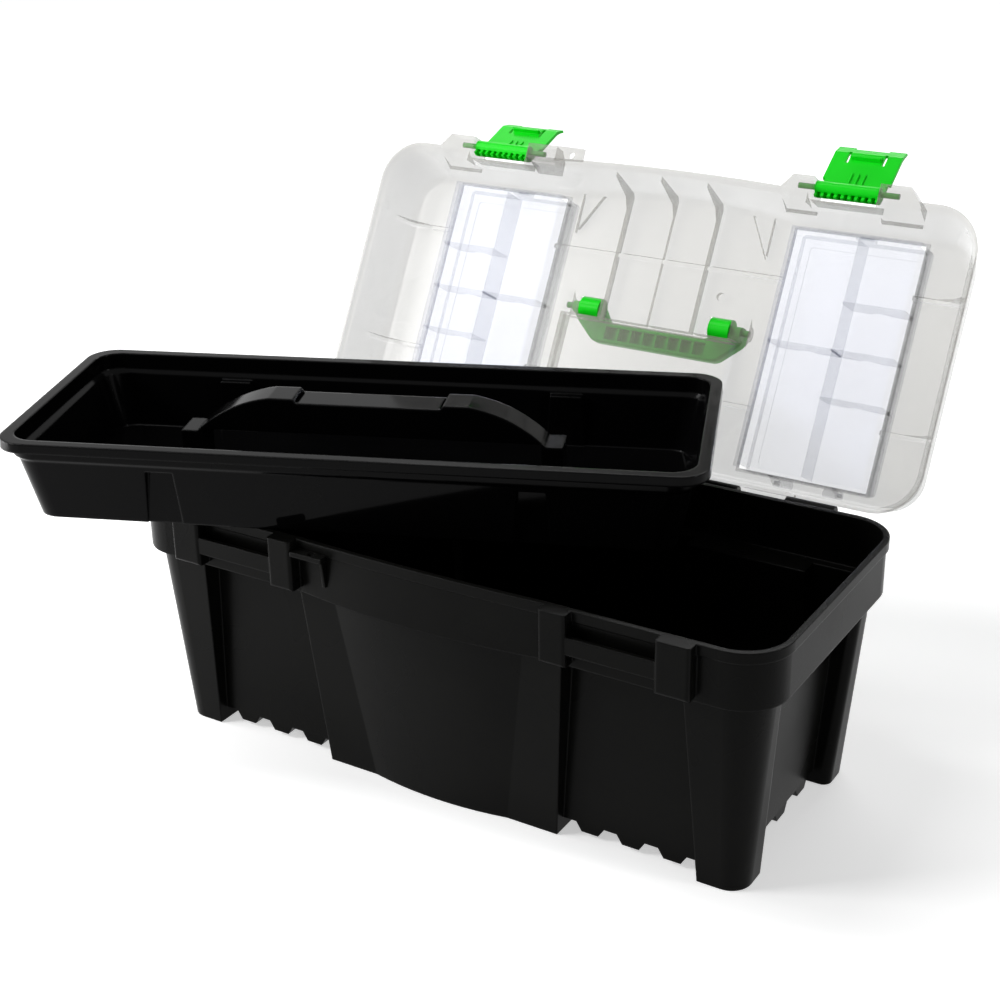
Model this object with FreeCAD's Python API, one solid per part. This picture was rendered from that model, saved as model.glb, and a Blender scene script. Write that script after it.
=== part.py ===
import FreeCAD, Part
import math
import os

# A toolbox, open: tub with rim shelf, clear lid with organiser wells, latches, handle and a lift-out tray.
# Millimetres. X runs along the length, -Y is the front, Z is up. The origin is at the centre of the base.

# Tub
TUB_LENGTH = 597.0
TUB_DEPTH = 265.0
TUB_HEIGHT = 220.0
WALL = 3.0
RIM_RADIUS = 40.0
LIP_HEIGHT = 9.0
LIP_REACH = 2.0
SKIRT_HEIGHT = 48.0
RIM_SAG = 2.6
SKIRT_SAG = 10.0
WALL_SET_IN = 11.0
WALL_DRAFT = 14.0
LEG_RADIUS_TOP = 30.0
LEG_RADIUS_BOTTOM = 18.0
LEG_LENGTH_TOP = 62.0
LEG_LENGTH_BOTTOM = 38.0
LEG_DEPTH_TOP = 46.0
LEG_DEPTH_BOTTOM = 41.0
LEG_SHOULDER = 8.0
RECESS_TOP = 18.0
RECESS_BOTTOM = 9.0
END_RECESS_TOP = 20.0
END_RECESS_BOTTOM = 15.0
FLOOR_RISE = 12.0
CENTRE_HALF_TOP = 124.0
CENTRE_HALF_BOTTOM = 112.0
BULGE_HALF_TOP = 90.0
BULGE_HALF_BOTTOM = 65.0
BULGE_SAG_TOP = 9.0
BULGE_SAG_BOTTOM = 6.5
TOOTH_COUNT = 3
TOOTH_PITCH = 36.5
END_TOOTH_PITCH = 42.0
TOOTH_WIDTH = 25.0
TOOTH_TIP = 15.0
TOOTH_HEIGHT = 8.0
TOOTH_DEPTH = 12.0

# Latch seats on the tub front
PILLAR_INNER = 115.0
PILLAR_INNER_WIDTH = 23.5
CHANNEL_WIDTH = 73.0
PILLAR_OUTER_WIDTH = 28.5
PILLAR_REACH = 10.0
PILLAR_FOOT = 4.0
CATCH_LOW_DROP = 32.5
CATCH_HIGH_DROP = 18.0
CATCH_REACH = 9.0
CATCH_THICK = 4.0
TAB_WIDTH = 31.0
TAB_THICK = 4.0
TAB_DROP = 7.5
WEB_HEIGHT = 28.0
WEB_INSET = 2.0
PADLOCK_RADIUS = 3.2
PADLOCK_OFFSET = 19.0
PADLOCK_REACH = 4.8

# Lid
LID_GAP = 0.6
LID_HEIGHT = 57.4
LID_DRAFT_SIDE = 10.0
LID_DRAFT_FRONT = 16.0
LID_DRAFT_BACK = 7.0
LID_EDGE = 6.0
LID_RADIUS_TOP = 32.0
LID_SAG_TOP = 11.0
LID_LIP_HEIGHT = 8.0
LEAD_IN = 3.0
LEAD_HEIGHT = 4.0
OPEN_ANGLE = 119.5
EAR_REACH = 12.0
EAR_HEIGHT = 27.0
EAR_SLOPE = 9.4
EAR_TOP_DROP = 10.0
EAR_TOP_RUN = 9.0
EAR_ROOT = 16.0
POCKET_INNER = 144.0
POCKET_WIDTH = 59.5
POCKET_DEPTH = 9.0
POCKET_HEIGHT = 24.0
RIB_WIDTH = 4.0
OUTER_RIB_DEPTH = 11.0
MIDDLE_RIB_DEPTH = 5.0
CROSS_RIB_DEPTH = 4.0
CENTRE_RIB_PITCH = 46.0
CROSS_RIB_FRONT = -61.5
CROSS_RIB_BACK = 58.5
GUSSET_INNER = 76.0
GUSSET_OUTER = 99.0
GUSSET_LENGTH = 38.0
GUSSET_THICK = 2.0
GUSSET_DEPTH = 5.0
BOSS_X = 64.0
BOSS_Y = -36.5
BOSS_RADIUS = 4.0
BOSS_DEPTH = 5.0

# Hinge
HINGE_BACK = 8.2
HINGE_DROP = 8.2
ARM_GAP = 0.6
KNUCKLE_RADIUS = 7.6
PIN_RADIUS = 2.5
PIN_FIT = 0.05
HINGE_INNER = 105.0
KNUCKLE_COUNT = 3
KNUCKLE_WIDTH = 43.2
KNUCKLE_GAP = 0.8
WEB_DROP = 22.0
STOP_INSET = 4.0
STOP_REACH = 12.0
STOP_GAP = 0.3

# Latches
PIVOT_REACH = 4.5
PIVOT_HEIGHT = 9.0
ROD_RADIUS = 2.5
ROD_BITE = 16.0
LATCH_WIDTH = 57.5
LATCH_PLATE_WIDTH = 62.0
LATCH_NECK = 17.0
LATCH_LENGTH = 60.0
LATCH_CURL = 1.5
LATCH_THICK = 3.0
BARREL_RADIUS = 6.0
LATCH_LEFT_OPEN = 131.0
LATCH_RIGHT_OPEN = 117.0
NOSE_WIDTH = 28.0
NOSE_BITE = 2.2
CATCH_GAP = 0.6
COMB_SLOTS = 9
COMB_PITCH = 6.2
COMB_SLOT = 3.2
COMB_REACH = 7.0
LATCH_RIB_PITCH = 6.0
LATCH_RIB_WIDTH = 1.4
LATCH_RIB_RISE = 1.2
LATCH_SLIT = 2.6
RIB_CLEAR = 2.0

# Carrying handle
HANDLE_HALF = 87.0
HANDLE_PIVOT_Y = -9.0
HANDLE_LIFT = 6.0
HANDLE_DRUM = 10.5
DRUM_INNER = 57.0
DRUM_OUTER = 77.5
HUB_RADIUS = 5.3
GRIP_HALF = 58.0
GRIP_WIDTH = 20.0
GRIP_THICK = 13.0
GRIP_REACH = 19.5
GRIP_LIFT = 12.5
GRIP_EDGE = 2.0
TRUNNION_RADIUS = 3.0
TRUNNION_LENGTH = 7.0
BRACKET_THICK = 8.0
BRACKET_GAP = 0.6
WINDOW_GAP = 0.6
WELL_HALF = 86.0
WELL_FRONT = 4.0
WELL_BACK = 80.0
WELL_DEPTH = 14.0

# Organisers in the lid
ORG_INNER = 118.0
ORG_OUTER = 238.0
ORG_FRONT = -109.0
ORG_BACK = 112.5
ORG_RISE = 19.0
ORG_SINK = 13.0
ORG_WALL = 2.5
BIN_FIT = 0.2
BIN_FLANGE = 3.0
BIN_FLANGE_THICK = 1.5
BIN_SEAT_GAP = 0.1
PARTITION_X = 180.0
PARTITION_THICK = 2.0
DIVIDER_THICK = 1.8
DIVIDER_FIT = 0.2
GROOVE_DEPTH = 0.8
DIVIDER_YS = (-47.5, -4.5, 38.5)
WIDE_DIVIDER_Y = -4.5
COVER_THICK = 2.5
COVER_GAP = 0.4
COVER_OVERHANG = 1.2
COVER_AXIS_BACK = 4.5
COVER_BARREL = 3.5
COVER_STUB = 1.8
COVER_LUG_OFFSET = 30.0
COVER_LUG_WIDTH = 5.0
COVER_BARREL_WIDTH = 12.0
COVER_CATCH_WIDTH = 16.0
COVER_CATCH_DROP = 11.0
COVER_CATCH_THICK = 2.0

# Lift-out tray
TRAY_LENGTH = 583.0
TRAY_DEPTH = 239.0
TRAY_HEIGHT = 70.0
TRAY_WALL = 2.5
TRAY_RADIUS = 26.0
TRAY_FLANGE = 8.0
TRAY_LIP = 8.0
TRAY_STEP = 4.0
TRAY_STEP_HEIGHT = 54.0
TRAY_END_DRAFT = 13.0
TRAY_SIDE_DRAFT = 3.5
TRAY_CENTRE_X = -125.0
TRAY_CENTRE_Y = -8.0
TRAY_YAW = 22.0
TRAY_SEAT_GAP = 0.3
FLUTE_INNER = 141.0
FLUTE_WIDTH = 23.0
FLUTE_SPREAD = 3.5
FLUTE_DEPTH = 9.0
FLUTE_HEIGHT = 47.0
ARCH_HALF_WIDTH = 15.0
ARCH_TOP = 79.5
TRAY_GRIP_TOP = 76.0
TRAY_GRIP_HALF = 62.0
ARCH_UNDER = 49.0
ARCH_FOOT_INNER = 147.0
ARCH_FOOT_OUTER = 165.0
ARCH_FOOT_TOP = 46.0
ARCH_SPRING = 151.0
ARCH_SHOULDER_X = 123.0
ARCH_SHOULDER_Z = 67.5
ARCH_CROWN_HALF = 86.0


def V(x, y, z=0.0):
    return FreeCAD.Vector(x, y, z)


def box(x0, x1, y0, y1, z0, z1):
    return Part.makeBox(x1 - x0, y1 - y0, z1 - z0, V(x0, y0, z0))


def cylinder_x(x0, x1, y, z, radius):
    return Part.makeCylinder(radius, x1 - x0, V(x0, y, z), V(1, 0, 0))


def outline(corners, z):
    """Closed wire in a level plane. A corner is (x, y, radius); ("arc", x, y) bows the side it stands on."""
    pts = [c for c in corners if c[0] != "arc"]
    bows = {}
    count = 0
    for c in corners:
        if c[0] == "arc":
            bows[count - 1] = c
        else:
            count += 1
    n = len(pts)
    starts = []
    ends = []
    fillets = []
    for i, (x, y, r) in enumerate(pts):
        here = V(x, y, z)
        if r <= 0:
            starts.append(here)
            ends.append(here)
            fillets.append(None)
            continue
        before = V(pts[i - 1][0], pts[i - 1][1], z) - here
        after = V(pts[(i + 1) % n][0], pts[(i + 1) % n][1], z) - here
        before.normalize()
        after.normalize()
        half = before.getAngle(after) / 2
        reach = r / math.tan(half)
        bisector = before + after
        bisector.normalize()
        middle = here + bisector * (r / math.sin(half) - r)
        ends.append(here + before * reach)
        starts.append(here + after * reach)
        fillets.append(middle)
    edges = []
    for i in range(n):
        if fillets[i] is not None:
            edges.append(Part.Arc(ends[i], fillets[i], starts[i]).toShape())
        a = starts[i]
        b = ends[(i + 1) % n]
        if i in bows:
            edges.append(Part.Arc(a, V(bows[i][1], bows[i][2], z), b).toShape())
        else:
            edges.append(Part.LineSegment(a, b).toShape())
    return Part.Wire(edges)


def loft(*wires):
    return Part.makeLoft(list(wires), True, True)


def plate(points, x0, x1):
    """Solid between two X stations with a side profile of (y, z) points."""
    wire = Part.makePolygon([V(x0, y, z) for y, z in points] + [V(x0, points[0][0], points[0][1])])
    return Part.Face(wire).extrude(V(x1 - x0, 0, 0))


def fuse(first, *others):
    shape = first.fuse(list(others))
    return shape.removeSplitter()


def mirrored(shape):
    return shape.mirror(V(0, 0, 0), V(1, 0, 0))


def both(shape):
    return [shape, mirrored(shape)]


HALF_L = TUB_LENGTH / 2
HALF_D = TUB_DEPTH / 2
SKIRT_LOW = TUB_HEIGHT - SKIRT_HEIGHT
CHANNEL_INNER = PILLAR_INNER + PILLAR_INNER_WIDTH
CHANNEL_OUTER = CHANNEL_INNER + CHANNEL_WIDTH
PILLAR_OUTER = CHANNEL_OUTER + PILLAR_OUTER_WIDTH
PILLAR_FRONT = -(HALF_D + PILLAR_REACH)
CATCH_LOW = TUB_HEIGHT - CATCH_LOW_DROP
CATCH_HIGH = TUB_HEIGHT - CATCH_HIGH_DROP


def rim_line(z, inset, sag, radius=RIM_RADIUS):
    """The rim's plan outline, with the long shallow bow between the latches."""
    a = HALF_L - inset
    b = HALF_D - inset
    r = radius - inset
    return outline([(-a, -b, r), (-PILLAR_INNER, -b, 0), ("arc", 0, -b - sag), (PILLAR_INNER, -b, 0),
                    (a, -b, r), (a, b, r), (-a, b, r)], z)


def block(x0, x1, y0, y1, r, z):
    return outline([(x0, y0, r), (x1, y0, r), (x1, y1, r), (x0, y1, r)], z)


def share(z):
    """How far down the lower wall a level lies: 0 at the skirt, 1 at the floor."""
    return (SKIRT_LOW - z) / SKIRT_LOW


def between(top, bottom, z):
    return top + (bottom - top) * share(z)


def core_wire(z, skin):
    x = panel_half_length(z) - skin
    y = panel_half_depth(z) - skin
    return block(-x, x, -y, y, 6.0, z)


def leg_wire(z, skin, sx, sy):
    x1 = HALF_L - WALL_SET_IN - share(z) * WALL_DRAFT - skin
    y1 = HALF_D - WALL_SET_IN - share(z) * WALL_DRAFT - skin
    x0 = x1 - between(LEG_LENGTH_TOP, LEG_LENGTH_BOTTOM, z) + 2 * skin
    y0 = y1 - between(LEG_DEPTH_TOP, LEG_DEPTH_BOTTOM, z) + 2 * skin
    r = between(LEG_RADIUS_TOP, LEG_RADIUS_BOTTOM, z) - skin
    corners = [(sx * x0, sy * y0, 0), (sx * x1, sy * y0, LEG_SHOULDER - skin), (sx * x1, sy * y1, r),
               (sx * x0, sy * y1, 0)]
    if sx * sy < 0:
        corners.reverse()
    return outline(corners, z)


def centre_wire(z, skin):
    x = between(CENTRE_HALF_TOP, CENTRE_HALF_BOTTOM, z) - skin
    y = HALF_D - WALL_SET_IN - share(z) * WALL_DRAFT - skin
    bow = between(BULGE_HALF_TOP, BULGE_HALF_BOTTOM, z)
    sag = between(BULGE_SAG_TOP, BULGE_SAG_BOTTOM, z)
    return outline([(-x, -y, 0), (-bow, -y, 0), ("arc", 0, -y - sag), (bow, -y, 0), (x, -y, 0),
                    (x, y, 0), (-x, y, 0)], z)


def lower_tub(skin):
    """The legs, the bowed centre section and the set-in panels between them, as one solid."""
    top = SKIRT_LOW + (skin if skin else 0.0)
    low = skin
    parts = [loft(core_wire(top, skin), core_wire(FLOOR_RISE + skin, skin)),
             loft(centre_wire(top, skin), centre_wire(low, skin))]
    for sx in (-1, 1):
        for sy in (-1, 1):
            parts.append(loft(leg_wire(top, skin, sx, sy), leg_wire(low, skin, sx, sy)))
    return parts[0].fuse(parts[1:])


def tooth(centre, along_x, near, far):
    """A trapezoid tooth under the edge of a set-in panel."""
    wide = TOOTH_WIDTH / 2
    tip = TOOTH_TIP / 2
    top = FLOOR_RISE
    pts = [(-wide, top + 1), (-wide, top), (-tip, top - TOOTH_HEIGHT), (tip, top - TOOTH_HEIGHT),
           (wide, top), (wide, top + 1)]
    if along_x:
        wire = Part.makePolygon([V(centre + u, near, z) for u, z in pts + pts[:1]])
        return Part.Face(wire).extrude(V(0, far - near, 0))
    wire = Part.makePolygon([V(near, centre + u, z) for u, z in pts + pts[:1]])
    return Part.Face(wire).extrude(V(far - near, 0, 0))


def panel_half_length(z):
    return HALF_L - WALL_SET_IN - share(z) * WALL_DRAFT - between(END_RECESS_TOP, END_RECESS_BOTTOM, z)


def panel_half_depth(z):
    return HALF_D - WALL_SET_IN - share(z) * WALL_DRAFT - between(RECESS_TOP, RECESS_BOTTOM, z)


def teeth():
    made = []
    x = panel_half_length(FLOOR_RISE)
    y = panel_half_depth(FLOOR_RISE)
    leg_x = HALF_L - WALL_SET_IN - WALL_DRAFT - LEG_LENGTH_BOTTOM
    middle = (leg_x + CENTRE_HALF_BOTTOM) / 2
    for i in range(TOOTH_COUNT):
        step = i - (TOOTH_COUNT - 1) / 2
        front = tooth(middle + step * TOOTH_PITCH, True, -y, -y + TOOTH_DEPTH)
        back = tooth(middle + step * TOOTH_PITCH, True, y - TOOTH_DEPTH, y)
        made += both(front) + both(back)
        made += both(tooth(step * END_TOOTH_PITCH, False, x - TOOTH_DEPTH, x))
    return made


HINGE_Y = HALF_D + HINGE_BACK
HINGE_Z = TUB_HEIGHT - HINGE_DROP
HINGE_STEP = KNUCKLE_WIDTH + KNUCKLE_GAP
HINGE_OUTER = HINGE_INNER + KNUCKLE_COUNT * HINGE_STEP - KNUCKLE_GAP


def knuckle_span(i):
    start = HINGE_INNER + i * HINGE_STEP
    return start, start + KNUCKLE_WIDTH


def lid_turn(y, z):
    """Where a point of the closed lid lies when the lid stands open."""
    t = math.radians(OPEN_ANGLE)
    dy = y - HINGE_Y
    dz = z - HINGE_Z
    return HINGE_Y + dy * math.cos(t) + dz * math.sin(t), HINGE_Z - dy * math.sin(t) + dz * math.cos(t)


LID_LOW = TUB_HEIGHT + LID_GAP
LID_TOP = TUB_HEIGHT + LID_HEIGHT


def tub():
    lip = loft(rim_line(TUB_HEIGHT, 0, RIM_SAG), rim_line(TUB_HEIGHT - LIP_HEIGHT, 0, RIM_SAG))
    skirt = loft(rim_line(TUB_HEIGHT - LIP_HEIGHT, LIP_REACH, RIM_SAG),
                 rim_line(SKIRT_LOW, LIP_REACH, SKIRT_SAG))
    parts = [lip, skirt, lower_tub(0.0)] + teeth()
    # Latch seats: two pillars each side with the catch bar between them
    for side in both(latch_seat()):
        parts.append(side)
    shape = parts[0].fuse(parts[1:])
    room = [loft(rim_line(TUB_HEIGHT + 1, LIP_REACH + WALL, RIM_SAG),
                 rim_line(SKIRT_LOW + WALL, LIP_REACH + WALL, SKIRT_SAG)),
            lower_tub(WALL)]
    shape = shape.cut(room)
    shape = shape.fuse([k for k in tub_knuckles()])
    holes = []
    holes += both(cylinder_x(HINGE_INNER - 1, HINGE_OUTER + 1, HINGE_Y, HINGE_Z, PIN_RADIUS + PIN_FIT))
    shape = shape.cut(holes)
    return shape.removeSplitter()


def latch_seat():
    back = -(HALF_D - LIP_REACH - WALL + 1)
    foot = SKIRT_LOW + PILLAR_FOOT
    parts = []
    for x0, x1 in ((PILLAR_INNER, CHANNEL_INNER), (CHANNEL_OUTER, PILLAR_OUTER)):
        pillar = box(x0, x1, PILLAR_FRONT, back, foot, TUB_HEIGHT)
        edges = [e for e in pillar.Edges
                 if abs(e.CenterOfMass.y - PILLAR_FRONT) < 0.01 and e.CenterOfMass.z < TUB_HEIGHT - 1]
        parts.append(pillar.makeFillet(3.0, edges))
    front = -(HALF_D + CATCH_REACH)
    bar = plate([(back, CATCH_LOW), (front, CATCH_LOW), (front, CATCH_HIGH), (front + CATCH_THICK, CATCH_HIGH),
                 (front + CATCH_THICK, CATCH_LOW + CATCH_THICK), (back, CATCH_LOW + CATCH_THICK)],
                CHANNEL_INNER - 1, CHANNEL_OUTER + 1)
    parts.append(bar)
    return parts[0].fuse(parts[1:])


PADLOCK_X = -(PILLAR_INNER - PADLOCK_OFFSET)
PADLOCK_Y = -(HALF_D + PADLOCK_REACH)


def padlock_tab(body):
    """The tub's padlock tab with its web, shaped to the bowed rim that it stands on."""
    z1 = TUB_HEIGHT - TAB_DROP
    z0 = z1 - TAB_THICK
    back = -(HALF_D - LIP_REACH - WALL + 1)
    x1 = -PILLAR_INNER + TAB_WIDTH
    tab = box(-PILLAR_INNER, x1, PILLAR_FRONT, back, z0, z1)
    web = plate([(back, z1 - 1), (PILLAR_FRONT + 3, z1 - 1), (PILLAR_FRONT + 7, z1 - WEB_HEIGHT), (back, z1 - WEB_HEIGHT)],
                x1 - WEB_INSET - WALL, x1 - WEB_INSET)
    hole = Part.makeCylinder(PADLOCK_RADIUS, TAB_THICK + 2, V(PADLOCK_X, PADLOCK_Y, z0 - 1))
    outside = tab.fuse(web).cut([body, box(-HALF_L, HALF_L, back - 1, HALF_D, 0, TUB_HEIGHT), hole])
    return max(outside.Solids, key=lambda solid: solid.Volume)


def stop_point():
    """Tip of the stop under the open lid's back face, measured from the hinge axis."""
    turn = math.acos(-(HINGE_BACK - STOP_GAP) / STOP_REACH) - math.radians(OPEN_ANGLE)
    return HINGE_Y + STOP_REACH * math.cos(turn), HINGE_Z + STOP_REACH * math.sin(turn)


def tub_knuckles():
    wall = HALF_D - LIP_REACH - WALL + 1
    stop_y, stop_z = stop_point()
    parts = []
    for i in range(0, KNUCKLE_COUNT, 2):
        x0, x1 = knuckle_span(i)
        barrel = cylinder_x(x0, x1, HINGE_Y, HINGE_Z, KNUCKLE_RADIUS)
        web = plate([(wall, HINGE_Z - WEB_DROP), (HALF_D, HINGE_Z - WEB_DROP),
                     (HINGE_Y + KNUCKLE_RADIUS * 0.8, HINGE_Z - KNUCKLE_RADIUS * 0.6),
                     (HINGE_Y, HINGE_Z), (wall, HINGE_Z + 3)], x0, x1)
        stop = plate([(HINGE_Y, HINGE_Z - KNUCKLE_RADIUS + 1), (stop_y, stop_z - 4), (stop_y, stop_z),
                      (HINGE_Y, HINGE_Z + KNUCKLE_RADIUS - 1)], x0 + STOP_INSET, x1 - STOP_INSET)
        parts += both(barrel.fuse([web, stop]))
    return parts


def lid_line(z, inset):
    """Plan outline of the lid at a level; the front leans in more than the back and keeps its bow."""
    s = (z - LID_LOW) / LID_HEIGHT
    ax = HALF_L - LID_DRAFT_SIDE * s - inset
    front = HALF_D - LID_DRAFT_FRONT * s - inset
    back = HALF_D - LID_DRAFT_BACK * s - inset
    r = RIM_RADIUS + (LID_RADIUS_TOP - RIM_RADIUS) * s - inset
    sag = RIM_SAG + (LID_SAG_TOP - RIM_SAG) * s
    return outline([(-ax, -front, r), (-PILLAR_INNER, -front, 0), ("arc", 0, -front - sag), (PILLAR_INNER, -front, 0),
                    (ax, -front, r), (ax, back, r), (-ax, back, r)], z)


EAR_FRONT = -(HALF_D + EAR_REACH)
PIVOT_Y = -(HALF_D + PIVOT_REACH)
PIVOT_Z = TUB_HEIGHT + PIVOT_HEIGHT
POCKET_BACK = -(HALF_D - POCKET_DEPTH)
POCKET_TOP = LID_LOW + POCKET_HEIGHT
ORG_FLOOR = LID_TOP - WALL - ORG_SINK + ORG_WALL
ORG_TOP = LID_TOP + ORG_RISE
HANDLE_PIVOT_Z = LID_TOP + HANDLE_LIFT
POCKET_OUTER = POCKET_INNER + POCKET_WIDTH
LATCH_MIDDLE = (POCKET_INNER + POCKET_OUTER) / 2


def lid_shell():
    lip = loft(lid_line(LID_LOW, 0), lid_line(LID_LOW + LID_LIP_HEIGHT, 0))
    wall = loft(lid_line(LID_LOW + LID_LIP_HEIGHT, LIP_REACH), lid_line(LID_TOP - LID_EDGE, LIP_REACH))
    edge = loft(lid_line(LID_TOP - LID_EDGE, LIP_REACH), lid_line(LID_TOP, LIP_REACH + LID_EDGE))
    solid = lip.fuse([wall, edge])
    room = loft(lid_line(LID_LOW - 1, LIP_REACH + WALL), lid_line(LID_TOP - LID_EDGE - 1, LIP_REACH + WALL))
    room_top = loft(lid_line(LID_TOP - LID_EDGE - 1, LIP_REACH + WALL),
                    lid_line(LID_TOP - WALL, LIP_REACH + WALL + LID_EDGE - 2))
    slope = LEAD_IN / LEAD_HEIGHT
    lead_in = loft(lid_line(LID_LOW - 1, LIP_REACH + WALL - LEAD_IN - slope),
                   lid_line(LID_LOW + LEAD_HEIGHT + 1, LIP_REACH + WALL + slope))
    return solid, room.fuse([room_top, lead_in])


def ear_corner(x, outside):
    """What the slope at an ear's outer side takes away, seen in plan."""
    front = EAR_FRONT - 1
    back = -HALF_D
    slope = EAR_SLOPE * (back - front) / EAR_REACH
    pts = [(x - outside * slope, front), (x + outside, front), (x + outside, back), (x, back)]
    wire = Part.makePolygon([V(px, py, LID_LOW - 1) for px, py in pts + pts[:1]])
    return Part.Face(wire).extrude(V(0, 0, EAR_HEIGHT + 2))


def lid_ribs():
    """Three ribs from the front lip over the roof to the handle well, and two across the lid."""
    roof = LID_TOP - WALL
    ribs = []
    front = HALF_D - LIP_REACH - WALL
    for i in (-1, 0, 1):
        x = i * CENTRE_RIB_PITCH
        low = roof - (OUTER_RIB_DEPTH if i else MIDDLE_RIB_DEPTH)
        ribs.append(plate([(-front - 2, LID_LOW + 6), (-front - 2, roof + 1), (WELL_FRONT + 1, roof + 1),
                           (WELL_FRONT + 1, low), (-front + 24, low), (-front + 14, low - 8), (-front + 3, LID_LOW + 6)],
                          x - RIB_WIDTH / 2, x + RIB_WIDTH / 2))
    side = HALF_L - LIP_REACH - WALL
    for y in (CROSS_RIB_FRONT, CROSS_RIB_BACK):
        for s in (-1, 1):
            pts = [(s * (side + 2), roof - 26), (s * (side + 2), roof + 1), (0, roof + 1), (0, roof - CROSS_RIB_DEPTH),
                   (s * (side - 34), roof - CROSS_RIB_DEPTH), (s * (side - 18), roof - CROSS_RIB_DEPTH - 9),
                   (s * (side - 8), roof - 26)]
            wire = Part.makePolygon([V(x, y - RIB_WIDTH / 2, z) for x, z in pts + pts[:1]])
            ribs.append(Part.Face(wire).extrude(V(0, RIB_WIDTH, 0)))
    # V-shaped gussets between the front wall and the roof, and a boss beside the handle
    wall = -(HALF_D - LID_DRAFT_FRONT - LIP_REACH)
    tip_x = GUSSET_OUTER - GUSSET_THICK
    for x in (GUSSET_INNER, GUSSET_OUTER - GUSSET_THICK):
        wire = Part.makePolygon([V(x, wall, roof + 1), V(x + GUSSET_THICK, wall, roof + 1),
                                 V(tip_x + GUSSET_THICK, wall + GUSSET_LENGTH, roof + 1),
                                 V(tip_x, wall + GUSSET_LENGTH, roof + 1), V(x, wall, roof + 1)])
        ribs += both(Part.Face(wire).extrude(V(0, 0, -GUSSET_DEPTH - 1)))
    ribs.append(Part.makeCylinder(BOSS_RADIUS, BOSS_DEPTH + 1, V(BOSS_X, BOSS_Y, roof - BOSS_DEPTH)))
    return ribs


def ear_block(x0, x1):
    """A block at the lid's front that holds one end of a latch rod, with a sloped top."""
    top = LID_LOW + EAR_HEIGHT
    return plate([(EAR_FRONT, LID_LOW), (EAR_FRONT, top - EAR_TOP_DROP), (EAR_FRONT + EAR_TOP_RUN, top),
                  (-(HALF_D - EAR_ROOT), top), (-(HALF_D - LIP_REACH - WALL + 2), LID_LOW)], x0, x1)


def ears():
    """The inner and the outer block of the right latch, each with its far side sloped in plan."""
    inner = ear_block(PILLAR_INNER, POCKET_INNER).cut(ear_corner(PILLAR_INNER, -1))
    outer = ear_block(POCKET_OUTER, PILLAR_OUTER).cut(ear_corner(PILLAR_OUTER, 1))
    return inner, outer


def padlock_ear(body):
    """The inner left ear with the padlock tab beside it, standing on the outside of the lid's front."""
    solid = lid_shell()[0]
    ear = mirrored(ear_block(PILLAR_INNER, POCKET_INNER))
    tab = box(-PILLAR_INNER - 1, -PILLAR_INNER + TAB_WIDTH, EAR_FRONT, -(HALF_D - LIP_REACH - 1),
              LID_LOW, LID_LOW + TAB_THICK)
    hole = Part.makeCylinder(PADLOCK_RADIUS, TAB_THICK + 2, V(PADLOCK_X, PADLOCK_Y, LID_LOW - 1))
    outside = ear.fuse(tab).cut([solid, body, hole] + lid_bores())
    return max(outside.Solids, key=lambda piece: piece.Volume)


def organiser_bin():
    """The right organiser: an open bin set into the roof, hung on its flange, with the cover's hinge lugs."""
    bin_box = box(ORG_INNER, ORG_OUTER, ORG_FRONT, ORG_BACK, ORG_FLOOR - ORG_WALL, ORG_TOP)
    seat = LID_TOP + BIN_SEAT_GAP
    flange = box(ORG_INNER - BIN_FLANGE, ORG_OUTER + BIN_FLANGE, ORG_FRONT - BIN_FLANGE, ORG_BACK + BIN_FLANGE,
                 seat, seat + BIN_FLANGE_THICK)
    room = box(ORG_INNER + ORG_WALL, ORG_OUTER - ORG_WALL, ORG_FRONT + ORG_WALL, ORG_BACK - ORG_WALL,
               ORG_FLOOR, ORG_TOP + 1)
    wall = box(PARTITION_X - PARTITION_THICK / 2, PARTITION_X + PARTITION_THICK / 2, ORG_FRONT + 1, ORG_BACK - 1,
               ORG_FLOOR - 1, ORG_TOP - 1)
    shape = bin_box.fuse(flange).cut(room).fuse([wall] + cover_lugs())
    bores = [cylinder_x(x0 - 1, x1 + 1, COVER_AXIS_Y, COVER_AXIS_Z, COVER_STUB + PIN_FIT)
             for x0, x1 in cover_lug_spans()]
    return shape.cut(bores + divider_grooves()).removeSplitter()


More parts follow.
